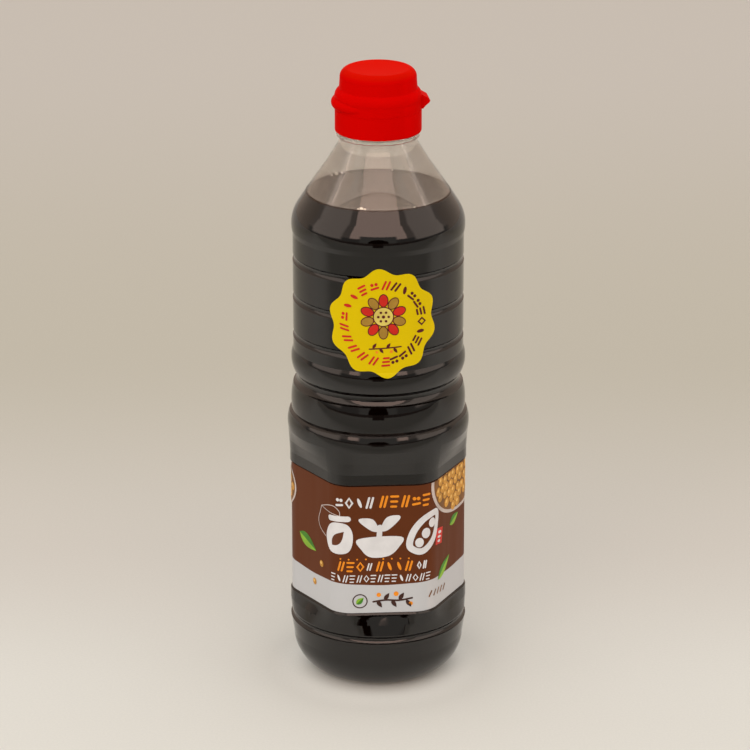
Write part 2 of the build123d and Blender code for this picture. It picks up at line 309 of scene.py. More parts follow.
# %% What mirrors see
def mirrored_room(t, turn, rise):
    behind = t.ramp(turn, FRONT_HALF - 6, FRONT_HALF + 6)
    across = t.math("POWER", t.math("DIVIDE", turn, GAP_HALF), 2.0)
    upwards = t.math("POWER", t.math("DIVIDE", t.math("MAXIMUM", rise, 0.0), GAP_TOP), 2.0)
    gap = t.ramp(t.math("ADD", across, upwards), 0.85, 1.15, 1, 0)
    side_start = t.ramp(turn, SIDE_FROM - 3, SIDE_FROM + 3)
    side = t.math("MULTIPLY", side_start, t.ramp(turn, SIDE_TO - 3, SIDE_TO + 3, 1, 0))
    panel = t.ramp(turn, PANEL_HALF - 1, PANEL_HALF + 1, 1, 0)
    low = t.mix(behind, FRONT_LOW, WALL_LIGHT)
    high = t.mix(behind, FRONT_HIGH, WALL_LIGHT)
    high = t.mix(side, high, SIDE_LIGHT)
    high = t.mix(panel, high, PANEL_LIGHT)
    high = t.mix(t.ramp(rise, 58, 85), high, CEILING_LIGHT)
    seen = t.mix(t.ramp(rise, PANEL_FROM, PANEL_TO), low, high)
    under = t.math("MULTIPLY", side, t.ramp(rise, 0, 4))
    seen = t.mix(under, seen, SIDE_LIGHT)
    porch_rise = t.ramp(rise, PORCH_TOP - 2, PORCH_TOP + 2, 1, 0)
    porch = t.math("MULTIPLY", t.ramp(turn, 22, 27, 1, 0), porch_rise)
    seen = t.mix(porch, seen, PORCH_LIGHT)
    return t.mix(gap, seen, GAP_LIGHT)


# %% [markdown]
# Mirrors see these panels. Matt surfaces get an even light from all round instead, a little dimmer from
# below, and the camera sees a pale wall. The Light Path node tells which kind of ray asks.

# %% Studio world
SOFT_LOW = rgb(0.42, 0.41, 0.40)
SOFT_HIGH = rgb(0.98, 1.00, 1.03)
BACKDROP = rgb(0.57, 0.51, 0.44)


def studio_world():
    world = bpy.data.worlds.new("studio")
    bpy.context.scene.world = world
    t = Tree(world)
    way = t.add("SeparateXYZ", None, Vector=t.add("TexCoord").outputs["Generated"])
    turn = t.math("ARCTAN2", way.outputs["X"], t.math("MULTIPLY", way.outputs["Y"], -1.0))
    turn = t.math("ABSOLUTE", t.math("DEGREES", turn))
    rise = t.math("DEGREES", t.math("ARCSINE", way.outputs["Z"]))
    mirrored = mirrored_room(t, turn, rise)
    soft = t.mix(t.ramp(rise, 0, 20), SOFT_LOW, SOFT_HIGH)
    path = t.add("LightPath")
    light = t.mix(path.outputs["Is Diffuse Ray"], mirrored, soft)
    colour = t.mix(path.outputs["Is Camera Ray"], light, BACKDROP)
    background = t.add("Background", None, Color=colour, Strength=1.0)
    output = t.add("OutputWorld")
    t.tree.links.new(background.outputs[0], output.inputs["Surface"])
    print("studio nodes:", len(t.tree.nodes))


studio_world()

# %% [markdown]
# One large lamp from the front, a little to the left, lights the print and the cap. Mirrors and the camera
# don't see it, so it leaves no square of light on the glossy wall.

# %% Front lamp
LAMP_PLACE = Vector((-0.5, -1.3, 0.9))
LAMP_AIM = Vector((0, 0, 0.12))
LAMP_SIZE = (1.2, 1.0)
LAMP_WATTS = 5.2


def front_lamp():
    data = bpy.data.lights.new("front_lamp", "AREA")
    data.shape = "RECTANGLE"
    data.size, data.size_y = LAMP_SIZE
    data.energy = LAMP_WATTS
    lamp = link_piece("front_lamp", data)
    lamp.location = LAMP_PLACE
    lamp.rotation_euler = (LAMP_AIM - LAMP_PLACE).to_track_quat("-Z", "Y").to_euler()
    lamp.visible_glossy = False
    lamp.visible_transmission = False
    lamp.visible_camera = False
    print("lamp of", LAMP_WATTS, "W")


front_lamp()

# %% [markdown]
# ## Clear blown bottle
# The real bottle is stretch-blown PET, about half a millimetre thick. Its finish is that of clear plastic:
# full transmission, a refractive index of 1.57 and a very smooth skin. Blowing leaves a faint waviness,
# which bends the reflections slightly, so a broad low bump is added. Lamps shine through the wall by a
# transparent shader that only shadow rays see in full. Above the sauce every ray gets some of it, which
# keeps four thin surfaces from greying the neck. Below the level of the sauce the wall is tinted dark: what
# lies behind is almost black anyway, and the renderer then spends its samples on the reflections.

# %% Bottle finish
WALL_CLEAR = rgb(0.992, 0.986, 0.965)
WALL_DARK = rgb(0.025, 0.016, 0.011)
WALL_THROUGH = rgb(0.988, 0.984, 0.972)
OPEN_SHARE = 0.45
sauce_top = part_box("soy_sauce")[1].z


def clear_wall():
    material, t = new_material("clear_wall")
    waves = t.noise(55, 1.0, 0.4, (1, 1, 0.35))
    shape = t.bump(waves, 0.06, 0.002)
    z = t.add("SeparateXYZ", None, Vector=t.add("TexCoord").outputs["Object"]).outputs["Z"]
    filled = t.ramp(z, sauce_top + 0.35 * MM, sauce_top + 0.8 * MM, 1, 0)
    colour = t.mix(filled, WALL_CLEAR, WALL_DARK)
    shell = t.add("BsdfPrincipled", None, Base_Color=colour, Roughness=0.015, IOR=1.57, Normal=shape)
    shell.inputs["Transmission Weight"].default_value = 1.0
    through = t.add("BsdfTransparent", None, Color=WALL_THROUGH)
    shadow = t.add("LightPath").outputs["Is Shadow Ray"]
    open_part = t.math("MULTIPLY", t.math("SUBTRACT", 1.0, filled), OPEN_SHARE)
    share = t.math("MAXIMUM", shadow, open_part)
    mixed = t.add("MixShader", None, in0=share, in1=shell.outputs[0], in2=through.outputs[0])
    finish_surface(t, mixed.outputs[0])
    return material


dress("bottle", clear_wall())

# %% [markdown]
# ## Sauce
# Soy sauce this deep is almost black, with a trace of brown. Two finishes are needed: the side lies against
# the plastic and so has hardly a shine of its own, while the free surface mirrors the wall above it.

# %% Sauce finishes
SAUCE_SIDE = (rgb(0.020, 0.009, 0.005), rgb(0.032, 0.015, 0.008))
SAUCE_SURFACE = (rgb(0.010, 0.0052, 0.0026), rgb(0.016, 0.009, 0.0048))


def sauce_material(name, tints, rough, shine=None):
    material, t = new_material(name)
    colour = t.mix(t.noise(30, 2.0), *tints)
    shader = t.add("BsdfPrincipled", None, Base_Color=colour, Roughness=rough, IOR=1.37)
    if shine is not None:
        shader.inputs["Specular IOR Level"].default_value = shine
    finish_surface(t, shader.outputs[0])
    return material


sauce_side = sauce_material("sauce", SAUCE_SIDE, 0.04, 0.06)
sauce_surface = sauce_material("sauce_top", SAUCE_SURFACE, 0.03)
print("sauce finishes:", sauce_side.name, sauce_surface.name)

# %% [markdown]
# The CAD solid stops a hair short of the wall, and that gap would show as a silvery film. So a copy of its
# mesh loses its flat top and is pushed outwards until it reaches just into the wall.

# %% Sauce against the wall
REACH = 0.2 * MM


def pushed_out_sauce():
    """The sauce without its top, grown into the wall, with its level and the open rim in order."""
    bm = bmesh.new()
    bm.from_mesh(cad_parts["soy_sauce"].data)
    bmesh.ops.remove_doubles(bm, verts=bm.verts, dist=0.002 * MM)
    bm.normal_update()
    level = max(v.co.z for v in bm.verts)
    top_faces = [f for f in bm.faces if all(abs(v.co.z - level) < 0.01 * MM for v in f.verts)]
    bmesh.ops.delete(bm, geom=top_faces, context="FACES")
    bm.normal_update()
    for v, normal in [(v, v.normal.copy()) for v in bm.verts]:
        v.co += normal * REACH
    ring = {v for e in bm.edges if e.is_boundary for v in e.verts}
    return bm, level, sorted(ring, key=lambda v: math.atan2(v.co.y, v.co.x))


# %% [markdown]
# A liquid creeps up a little where it wets a wall, which gives the surface a fine bright rim. The top is
# therefore rebuilt as rings of points that start high at the wall and run out flat, then close in a fan.

# %% Sauce surface
MENISCUS = (  # inwards from the wall, and up from the level, in millimetres
    (0.4, 0.72),
    (1.0, 0.5),
    (1.8, 0.3),
    (2.8, 0.15),
    (4.2, 0.05),
    (6.0, 0.0),
)
RIM_RISE = 1.15  # the open rim climbs this much more than the first ring
RIM_INWARDS = 0.55 * MM


def close_top(bm, level, order):
    """Fills the open rim with rings that rise at the wall; returns the radius of the rim."""
    for v in order:
        v.co.z = level + MENISCUS[0][1] * MM * RIM_RISE
        v.co -= Vector((v.co.x, v.co.y, 0)).normalized() * RIM_INWARDS
    radius = sum(Vector((v.co.x, v.co.y)).length for v in order) / len(order)
    outer = order
    for inwards, up in MENISCUS:
        inner = []
        for v in order:
            spot = Vector((v.co.x, v.co.y, 0)).normalized() * (radius - inwards * MM)
            inner.append(bm.verts.new((spot.x, spot.y, level + up * MM)))
        for i in range(len(order)):
            j = (i + 1) % len(order)
            bm.faces.new((outer[i], outer[j], inner[j], inner[i])).material_index = 1
        outer = inner
    middle = bm.verts.new((0, 0, level))
    for i in range(len(outer)):
        bm.faces.new((outer[i], outer[(i + 1) % len(outer)], middle)).material_index = 1
    return radius


# %% [markdown]
# Both halves come together in one mesh with two material slots.

# %% Sauce piece
def make_sauce():
    bm, level, order = pushed_out_sauce()
    radius = close_top(bm, level, order)
    bmesh.ops.recalc_face_normals(bm, faces=bm.faces)
    for f in bm.faces:
        f.smooth = True
    mesh = bpy.data.meshes.new("sauce_fill")
    bm.to_mesh(mesh)
    bm.free()
    mesh.materials.append(sauce_side)
    mesh.materials.append(sauce_surface)
    mesh.set_sharp_from_angle(angle=math.radians(40))
    piece = link_piece("sauce_fill", mesh)
    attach(piece, "root")
    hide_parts("soy_sauce")
    print("sauce faces:", len(mesh.polygons), "level in mm:", round(level / MM, 1))
    return level, radius


sauce_level, sauce_rim = make_sauce()

# %% [markdown]
# A few bubbles always cling to the rim of the surface after the bottle has been moved. Each is a small,
# nearly opaque dome that mirrors the ceiling a little; its pale colour is a painted glint.

# %% Bubbles
BUBBLES = (  # direction from the front, distance inwards from the wall and radius, in degrees and mm
    (-14.0, 1.5, 0.85),
    (-11.0, 1.3, 0.6),
    (-16.6, 1.2, 0.5),
    (31.0, 0.8, 0.4),
    (-141.5, 1.3, 0.8),
    (-147.0, 1.2, 0.55),
    (-136.5, 1.1, 0.5),
    (168.0, 0.8, 0.4),
)


def bubble_material():
    material, t = new_material("bubble")
    # painted glint: the pale colour of the bubbles
    painted_glint = t.mix(t.noise(900, 2.0), rgb(0.90, 0.84, 0.72), rgb(0.96, 0.92, 0.84))
    shader = t.add("BsdfPrincipled", None, Base_Color=painted_glint, Roughness=0.08, IOR=1.4)
    shader.inputs["Transmission Weight"].default_value = 0.15
    finish_surface(t, shader.outputs[0])
    return material


def make_bubbles(rim_radius):
    bm = bmesh.new()
    for turn, inwards, size in BUBBLES:
        way = Vector((math.sin(math.radians(turn)), -math.cos(math.radians(turn)), 0))
        start = len(bm.verts)
        bmesh.ops.create_icosphere(bm, subdivisions=3, radius=size * MM)
        bm.verts.ensure_lookup_table()
        spot = way * (rim_radius - inwards * MM) + Vector((0, 0, sauce_level + (0.35 + 0.55 * size) * MM))
        for v in bm.verts[start:]:
            v.co.z *= 0.8
            v.co += spot
    for f in bm.faces:
        f.smooth = True
    mesh = bpy.data.meshes.new("bubbles")
    bm.to_mesh(mesh)
    bm.free()
    mesh.materials.append(bubble_material())
    piece = link_piece("bubbles", mesh)
    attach(piece, "root")
    print("bubbles:", len(BUBBLES))


make_bubbles(sauce_rim)

# %% [markdown]
# ## Cap
# The cap is moulded polypropylene in one strong red. Such plastic is glossy but not mirror-like, and light
# enters it a little before it comes back, which softens its edges. A fine grain in the bump breaks up the
# highlights, and the colour varies by a few percent, as moulded colour does. On its top the red turns a touch
# orange: that is painted light, for the top that faces the light.

# %% Cap finish
CAP_RED = (rgb(0.62, 0.0006, 0.0003), rgb(0.68, 0.0012, 0.0004))
# Painted light: the top of the cap is tinted more orange, as where light falls on it.
CAP_TOP_PAINTED_LIGHT = rgb(0.61, 0.0042, 0.0002)
lid_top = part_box("cap_lid")[1].z


def cap_red():
    material, t = new_material("cap_red")
    drift = t.noise(45, 3.0)
    colour = t.mix(drift, *CAP_RED)
    z = t.add("SeparateXYZ", None, Vector=t.add("TexCoord").outputs["Object"]).outputs["Z"]
    # painted light on the top of the cap
    lit_crown = t.ramp(z, lid_top - 2.6 * MM, lid_top - 0.8 * MM)
    colour = t.mix(lit_crown, colour, CAP_TOP_PAINTED_LIGHT)
    grain = t.noise(1400, 2.0)
    shader = t.add("BsdfPrincipled", None, Base_Color=colour, Roughness=0.33, IOR=1.49,
                   Normal=t.bump(grain, 0.05, 0.0004))
    shader.inputs["Specular IOR Level"].default_value = 0.002
    shader.inputs["Subsurface Weight"].default_value = 0.12
    shader.inputs["Subsurface Radius"].default_value = (1.0, 0.15, 0.1)
    shader.inputs["Subsurface Scale"].default_value = 0.002
    finish_surface(t, shader.outputs[0])
    return material


red = cap_red()
dress("cap_base", red)
dress("cap_lid", red)

# %% [markdown]
# ## Label film
# The label is a printed plastic band: dark chocolate brown above, a white band below, with a softly waved
# edge between them. The edge is found from the height of each point, and the wave from its direction, so
# the two colours meet in a clean line. The film has a satin skin with faint upright stretch marks.

# %% Label finish
LABEL_TURN = 4.0  # the middle of the front facet, in degrees from the front
WAVE = 0.4 * MM
BROWN = (rgb(0.108, 0.028, 0.0075), rgb(0.122, 0.033, 0.0095))
WHITE = (rgb(0.535, 0.530, 0.522), rgb(0.572, 0.567, 0.558))
label_low, label_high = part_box("label")
WHITE_TOP = label_low.z + 12.9 * MM


def label_film():
    material, t = new_material("label_film")
    place = t.add("SeparateXYZ", None, Vector=t.add("TexCoord").outputs["Object"])
    turn = t.math("ARCTAN2", place.outputs["X"], t.math("MULTIPLY", place.outputs["Y"], -1.0))
    turn = t.math("SUBTRACT", turn, math.radians(LABEL_TURN))
    wave = t.math("COSINE", t.math("MULTIPLY", turn, 6.0))
    edge = t.math("ADD", WHITE_TOP + WAVE, t.math("MULTIPLY", wave, -WAVE))
    above = t.ramp(t.math("SUBTRACT", place.outputs["Z"], edge), -0.06 * MM, 0.06 * MM)
    tint = t.noise(38, 2.0)
    colour = t.mix(above, t.mix(tint, *WHITE), t.mix(tint, *BROWN))
    stretch = t.noise(160, 2.0, 0.5, (1, 1, 0.08))
    shader = t.add("BsdfPrincipled", None, Base_Color=colour, IOR=1.45,
                   Roughness=t.ramp(stretch, 0.3, 0.7, 0.38, 0.5), Normal=t.bump(stretch, 0.12, 0.0004))
    shader.inputs["Specular IOR Level"].default_value = 0.12
    finish_surface(t, shader.outputs[0])
    return material


dress("label", label_film())

# %% [markdown]
# ## Seal film
# The seal is a thin glossy sticker in a full warm yellow. It is smoother than the label, so it takes a
# lower roughness and only a trace of bump.

# %% Seal finish
SEAL_YELLOW = (rgb(0.74, 0.53, 0.0010), rgb(0.79, 0.57, 0.0014))


def seal_film():
    material, t = new_material("seal_film")
    colour = t.mix(t.noise(60, 2.0), *SEAL_YELLOW)
    shader = t.add("BsdfPrincipled", None, Base_Color=colour, Roughness=0.3, IOR=1.45,
                   Normal=t.bump(t.noise(240, 2.0), 0.05, 0.0004))
    shader.inputs["Specular IOR Level"].default_value = 0.1
    finish_surface(t, shader.outputs[0])
    return material


dress("seal_sticker", seal_film())

# %% [markdown]
# ## Printing on a curved piece
# The print is real geometry, a few hundredths of a millimetre thick. Every shape is drawn flat, like artwork
# on a light table, in millimetres across and up. The sheet is then cut into narrow upright strips, so that
# it can bend, and each corner is carried to the piece by a ray shot at it from outside. A table of distances
# along the skin turns millimetres across into directions, so nothing gets squeezed where the piece curves.

# %% Skin of a piece
SKIN_STEP = 0.5  # degrees between two marks of the table
RAY_START = 0.1  # metres from the axis, well outside
NEAR_SKIN = 0.038  # where to look for the nearest skin when a ray misses


def outwards(turn):
    return Vector((math.sin(math.radians(turn)), -math.cos(math.radians(turn)), 0))


class Skin:
    """Carries a place on flat artwork, in mm across and up, to the outside of a CAD piece."""

    def __init__(self, node_name, middle_turn, reach, foot, level):
        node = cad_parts[node_name]
        corners = [node.matrix_world @ v.co for v in node.data.vertices]
        self.tree = BVHTree.FromPolygons(corners, [p.vertices[:] for p in node.data.polygons])
        self.foot = foot
        count = int(reach / SKIN_STEP)
        marks = {0: (0.0, middle_turn)}
        for side in (-1, 1):
            across = 0.0
            last = self.hit(middle_turn, level)
            for i in range(1, count + 1):
                turn = middle_turn + side * i * SKIN_STEP
                spot = self.hit(turn, level)
                across += side * (spot - last).length / MM
                last = spot
                marks[side * i] = (across, turn)
        self.marks = [marks[i] for i in range(-count, count + 1)]
        print(node_name, "skin, mm across:", round(self.marks[-1][0] - self.marks[0][0], 1))

    def hit(self, turn, z):
        way = outwards(turn)
        spot = self.tree.ray_cast(way * RAY_START + Vector((0, 0, z)), -way)[0]
        if spot is None:
            spot = self.tree.find_nearest(way * NEAR_SKIN + Vector((0, 0, z)))[0]
        return spot

    def turn_at(self, across):
        low, high = 0, len(self.marks) - 1
        while high - low > 1:
            middle = (low + high) // 2
            if self.marks[middle][0] > across:
                high = middle
            else:
                low = middle
        (a, turn_a), (b, turn_b) = self.marks[low], self.marks[high]
        return turn_a + (turn_b - turn_a) * (across - a) / (b - a)

    def place(self, across, up, lift):
        turn = self.turn_at(across)
        return self.hit(turn, self.foot + up * MM) + outwards(turn) * lift * MM


label_skin = Skin("label", LABEL_TURN, 180, label_low.z, (label_low.z + label_high.z) / 2)

# %% [markdown]
# ## Drawing tools
# A few tools draw everything: a smooth outline, a straight-sided one, an oval, a brush stroke of even width
# and a leaf. Each returns a list of flat faces. Curves go through their points as Catmull-Rom splines,
# which need no handles.

# %% Curves
def curve(points, closed, steps=6):
    """Points along a smooth curve through the given ones."""
    out = []
    count = len(points)
    spans = count if closed else count - 1
    for i in range(spans):
        if closed:
            near = [points[(i + k) % count] for k in (-1, 0, 1, 2)]
        else:
            near = [points[min(max(i + k, 0), count - 1)] for k in (-1, 0, 1, 2)]
        for j in range(steps):
            s = j / steps
            weights = (
                -0.5 * s + s * s - 0.5 * s ** 3,
                1 - 2.5 * s * s + 1.5 * s ** 3,
                0.5 * s + 2 * s * s - 1.5 * s ** 3,
                -0.5 * s * s + 0.5 * s ** 3,
            )
            out.append(tuple(sum(w * p[k] for w, p in zip(weights, near)) for k in (0, 1)))
    if not closed:
        out.append(points[-1])
    return out


# %% Outlines
def blob(points):
    return [curve(points, True)]


def poly(points):
    return [points]


def oval(x, y, half_x, half_y, turn=0.0, sides=20):
    out = []
    c, s = math.cos(math.radians(turn)), math.sin(math.radians(turn))
    for i in range(sides):
        a = 2 * math.pi * i / sides
        dx, dy = half_x * math.cos(a), half_y * math.sin(a)
        out.append((x + dx * c - dy * s, y + dx * s + dy * c))
    return [out]


# %% [markdown]
# A brush stroke is a chain of small quads beside a line, with a half disc at either end. Half its width is
# laid off square to the line at every point, so it keeps its width round a bend.

# %% Brush stroke
def stroke(points, width, closed=False, smooth=True):
    """A brush stroke of even width with round ends."""
    line = curve(points, closed) if smooth else list(points)
    count = len(line)
    left, right = [], []
    for i in range(count):
        before = line[(i - 1) % count] if closed else line[max(i - 1, 0)]
        after = line[(i + 1) % count] if closed else line[min(i + 1, count - 1)]
        dx, dy = after[0] - before[0], after[1] - before[1]
        size = math.hypot(dx, dy) or 1.0
        nx, ny = -dy / size * width / 2, dx / size * width / 2
        left.append((line[i][0] + nx, line[i][1] + ny))
        right.append((line[i][0] - nx, line[i][1] - ny))
    faces = []
    for i in range(count if closed else count - 1):
        j = (i + 1) % count
        faces.append([left[i], right[i], right[j], left[j]])
    if not closed:
        for tip, a, b in ((line[0], left[0], right[0]), (line[-1], right[-1], left[-1])):
            start = math.atan2(a[1] - tip[1], a[0] - tip[0])
            arc = [a]
            for k in range(1, 6):
                angle = start + math.pi * k / 6
                arc.append((tip[0] + width / 2 * math.cos(angle), tip[1] + width / 2 * math.sin(angle)))
            faces.append(arc + [b])
    return faces


# %% [markdown]
# A leaf comes as two halves that meet along a slightly bent vein, so that each can have its own green. Any
# drawing can be turned and carried to its place afterwards.

# %% Leaf, and moving a drawing
VEIN = (0.75, 0.5, 0.25)


def leaf(x0, y0, x1, y1, width):
    """A pointed leaf from its stalk to its tip, as two halves: (dark half, light half)."""
    dx, dy = x1 - x0, y1 - y0
    size = math.hypot(dx, dy)
    nx, ny = -dy / size * width / 2, dx / size * width / 2
    halves = []
    for side in (1, -1):
        edge = []
        for i in range(9):
            s = i / 8
            swell = side * math.sin(math.pi * s ** 0.8)
            edge.append((x0 + dx * s + nx * swell, y0 + dy * s + ny * swell))
        back = [(x0 + dx * s + 0.15 * nx * math.sin(math.pi * s), y0 + dy * s) for s in VEIN]
        halves.append([edge + back])
    return halves


def moved(faces, x, y, turn=0.0):
    c, s = math.cos(math.radians(turn)), math.sin(math.radians(turn))
    return [[(x + px * c - py * s, y + px * s + py * c) for px, py in face] for face in faces]


# %% [markdown]
# ## Inks
# An ink is a satin colour with a little unevenness, as gravure print has. A colour becomes one object for
# every layer that it is used in. Shapes of a higher layer lie a few hundredths of a millimetre above those
# they cover, and the shapes of one layer are stepped by a hundredth, in a cycle of five, so that strokes
# which cross hardly ever share a plane.

# %% Inks
def ink(name, colour, spread=0.06, rough=0.42):
    material, t = new_material(name)
    drift = t.ramp(t.noise(150, 3.0), 0.3, 0.7, 1 - spread, 1 + spread)
    tinted = t.add("HueSaturation", None, Color=rgb(*colour), Value=drift).outputs[0]
    grain = t.bump(t.noise(900, 2.0), 0.05, 0.0003)
    shader = t.add("BsdfPrincipled", None, Base_Color=tinted, Roughness=rough, IOR=1.45, Normal=grain)
    shader.inputs["Specular IOR Level"].default_value = 0.3
    finish_surface(t, shader.outputs[0])
    return material


INKS = {
    "white": ink("ink_white", (0.74, 0.72, 0.70)),
    "orange": ink("ink_orange", (0.86, 0.27, 0.012)),
    "rim": ink("ink_rim", (0.56, 0.47, 0.42), 0.12),
    "shade": ink("ink_shade", (0.19, 0.075, 0.012), 0.2),
    "bean": ink("ink_bean", (0.60, 0.28, 0.035), 0.2),
    "glow": ink("ink_glow", (0.86, 0.52, 0.14), 0.1),
    "green": ink("ink_green", (0.055, 0.21, 0.014), 0.2),
    "lime": ink("ink_lime", (0.25, 0.47, 0.03), 0.15),
    "red": ink("ink_red", (0.62, 0.022, 0.010)),
    "dark": ink("ink_dark", (0.045, 0.016, 0.010)),
    "brown": ink("ink_brown", (0.112, 0.029, 0.008)),
    "maroon": ink("ink_maroon", (0.10, 0.008, 0.010)),
    "gold": ink("ink_gold", (0.40, 0.22, 0.03), 0.12),
    "yellow": ink("ink_yellow", (0.76, 0.60, 0.13), 0.1),
}
print("inks:", len(INKS))

# %% [markdown]
# A drawing becomes a print in three steps. First all its faces go into one flat mesh, where the steps keep
# neighbouring shapes apart, and whatever passes the limits is cut off.

# %% Flat sheet
PRINT_LIFT = 0.05
PRINT_THICK = 0.04
PRINT_LAYER = 0.07
PRINT_STEP = 0.01
PRINT_CYCLE = 5
PRINT_WELD = 0.004


def slice_at(bm, geometry, place, way, clear=False):
    bmesh.ops.bisect_plane(bm, geom=geometry, plane_co=place, plane_no=way, clear_outer=clear)


def flat_sheet(shapes, limits):
    bm = bmesh.new()
    for index, faces in enumerate(shapes):
        for face in faces:
            corners = [bm.verts.new((x, y, PRINT_STEP * (index % PRINT_CYCLE))) for x, y in face]
            bm.faces.new(corners)
    bmesh.ops.remove_doubles(bm, verts=bm.verts, dist=PRINT_WELD)
    for height, up in zip(limits, (-1, 1)):
        geometry = bm.verts[:] + bm.edges[:] + bm.faces[:]
        slice_at(bm, geometry, (0, height, 0), (0, up, 0), True)
    bmesh.ops.recalc_face_normals(bm, faces=bm.faces)
    bmesh.ops.triangulate(bm, faces=bm.faces)
    return bm


# %% [markdown]
# Then the sheet is cut every 1.2 mm, only where a face crosses the cut, so that wide shapes can follow the
# round of the bottle while small ones stay light.

# %% Strips
STRIP = 1.2
SLIVER = 1e-7  # an area in square millimetres that is too small to keep


def crosses(face, x):
    return min(v.co.x for v in face.verts) < x < max(v.co.x for v in face.verts)


def cut_in_strips(bm):
    low = min(v.co.x for v in bm.verts)
    high = max(v.co.x for v in bm.verts)
    for i in range(math.ceil(low / STRIP), math.floor(high / STRIP) + 1):
        near = [f for f in bm.faces if crosses(f, i * STRIP)]
        edges = list({e for f in near for e in f.edges})
        corners = list({v for f in near for v in f.verts})
        if near:
            slice_at(bm, edges + near + corners, (i * STRIP, 0, 0), (1, 0, 0))
    flat = [f for f in bm.faces if f.calc_area() < SLIVER]
    bmesh.ops.delete(bm, geom=flat, context="FACES")


# %% [markdown]
# Last, the sheet is given its thickness and every corner is carried to the skin. The finished piece rides on
# the bottle's one body, and its slot says which finish it belongs with.

# %% Print on a skin
def print_on(name, skin, material, shapes, layer=0, limits=()):
    """Prints flat shapes on a skin in one ink, cut off below and above at the limits."""
    bm = flat_sheet(shapes, limits)
    cut_in_strips(bm)
    raised = bmesh.ops.extrude_face_region(bm, geom=bm.faces[:], use_keep_orig=True)
    for item in raised["geom"]:
        if isinstance(item, bmesh.types.BMVert):
            item.co.z += PRINT_THICK
    bmesh.ops.triangulate(bm, faces=bm.faces)
    for v in bm.verts:
        v.co = skin.place(v.co.x, v.co.y, PRINT_LIFT + PRINT_LAYER * layer + v.co.z)
    bmesh.ops.recalc_face_normals(bm, faces=bm.faces)
    mesh = bpy.data.meshes.new(name)
    bm.to_mesh(mesh)
    bm.free()
    mesh.materials.append(material)
    piece = link_piece(name, mesh)
    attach(piece, "root")
    return len(mesh.polygons)


def print_artwork(prefix, artwork, skin, limits=()):
    """Prints all the shapes of an artwork, one piece for each colour and layer."""
    total = 0
    for name, layers in artwork.items():
        for layer, faces in enumerate(layers):
            if faces:
                title = prefix + name + ("_" + str(layer) if layer else "")
                total += print_on(title, skin, INKS[name], faces, layer, limits)
    return total


# %% [markdown]
# ## Label artwork
# The origin is the middle of the front facet, at the lower edge of the label. The artwork is collected by
# colour and by layer, and one generator of random numbers with a fixed seed gives every small variation.

# %% Label sheet
LABEL_LIMITS = (0.3, (label_high.z - label_low.z) / MM - 0.12)
luck = random.Random(7)
art = {name: [[], [], []] for name in INKS}


def draw(colour, faces, layer=0):
    art[colour][layer].append(faces)


print("label from", LABEL_LIMITS[0], "to", round(LABEL_LIMITS[1], 1), "mm up")

# %% [markdown]
# The lines of small print become rows of ticks, diamonds, dots, seeds and dashes that spell nothing. Each
# mark is drawn round its own middle and then moved to its place in the row.

# %% Small marks
def bar(start, end, pen):
    return stroke([start, end], pen, False, False)


def small_mark(kind, width, height, weight=0.19):
    """One mark of a row of small print, round its own middle."""
    pen = height * weight
    w, h = width / 2 - pen / 2, height / 2 - pen / 2
    if kind == 0:
        return bar((-w, -h), (-w * 0.2, h), pen) + bar((w * 0.2, -h), (w, h), pen)
    if kind == 1:
        return stroke([(-w, 0), (0, h), (w, 0), (0, -h)], pen, True, False)
    if kind == 2:
        dot = pen * 0.8
        dots = oval(-w * 0.6, h * 0.45, dot, dot) + oval(w * 0.6, h * 0.45, dot, dot)
        return dots + bar((-w, -h * 0.7), (w, -h * 0.5), pen)
    if kind == 3:
        return oval(0, 0, w * 0.5, h * 1.05, 20)
    dashes = []
    for k, y in enumerate((-h, 0, h)):
        dashes += bar((-w, y), (w * (0.4 + 0.3 * k), y), pen)
    return dashes


# %% Rows of marks
ROWS = (  # colour, start and end across, low and high edge, and the weight of the pen
    ("white", -21.8, -3.8, 49.0, 54.4, 0.18),
    ("orange", -2.4, 21.3, 49.2, 54.9, 0.18),
    ("orange", -20.9, -8.1, 19.4, 24.2, 0.18),
    ("white", -7.8, -4.7, 19.9, 23.5, 0.18),
    ("orange", -3.8, 13.1, 19.4, 24.2, 0.18),
    ("white", 14.2, 19.5, 19.9, 23.8, 0.18),
    ("white", -24.4, 21.5, 14.4, 17.9, 0.15),
)
MARK_SHARE = 0.84
DOTS = (-19.0, -15.3, -11.6, -7.8, -0.2, 3.5, 7.2, 10.9)

for colour, start, end, low, high, weight in ROWS:
    height = high - low
    count = max(1, round((end - start) / (height * 0.86)))
    pitch = (end - start) / count
    for i in range(count):
        mark = small_mark(luck.randrange(5), pitch * MARK_SHARE, height, weight)
        draw(colour, moved(mark, start + pitch * (i + 0.5), low + height / 2))
for x in DOTS:
    draw("orange", oval(x, 25.3, 0.4, 0.4, 0, 10))
print("rows of marks:", len(ROWS))

# %% [markdown]
# Where a product would carry its name stand three plain pictograms in white: a jar, a sprout in a bowl and a
# pod. They are built from the same blobs and strokes, with a brown leaf laid over the jar.

# %% Jar
draw("white", bar((-24.6, 43.4), (-15.6, 44.2), 2.6))
jar_edge = [(-24.0, 41.0), (-16.2, 41.6), (-13.4, 36.0), (-15.6, 28.6), (-24.2, 27.8), (-27.4, 34.4)]
draw("white", blob(jar_edge))
for half in leaf(-23.4, 31.0, -17.4, 38.2, 4.4):
    draw("brown", half, 1)

# %% Sprout in a bowl
draw("white", blob([(-11.0, 34.9), (7.6, 35.6), (6.2, 30.2), (1.8, 26.6), (-5.6, 26.2), (-9.6, 29.6)]))
draw("white", stroke([(-2.0, 35.6), (-1.7, 40.2)], 2.4, False, False))
draw("white", blob([(-2.2, 38.6), (-5.4, 38.6), (-10.4, 42.6), (-10.2, 44.4), (-4.6, 43.8)]))
draw("white", blob([(-1.4, 38.9), (1.8, 38.8), (6.8, 43.6), (6.4, 45.6), (1.2, 44.6)]))

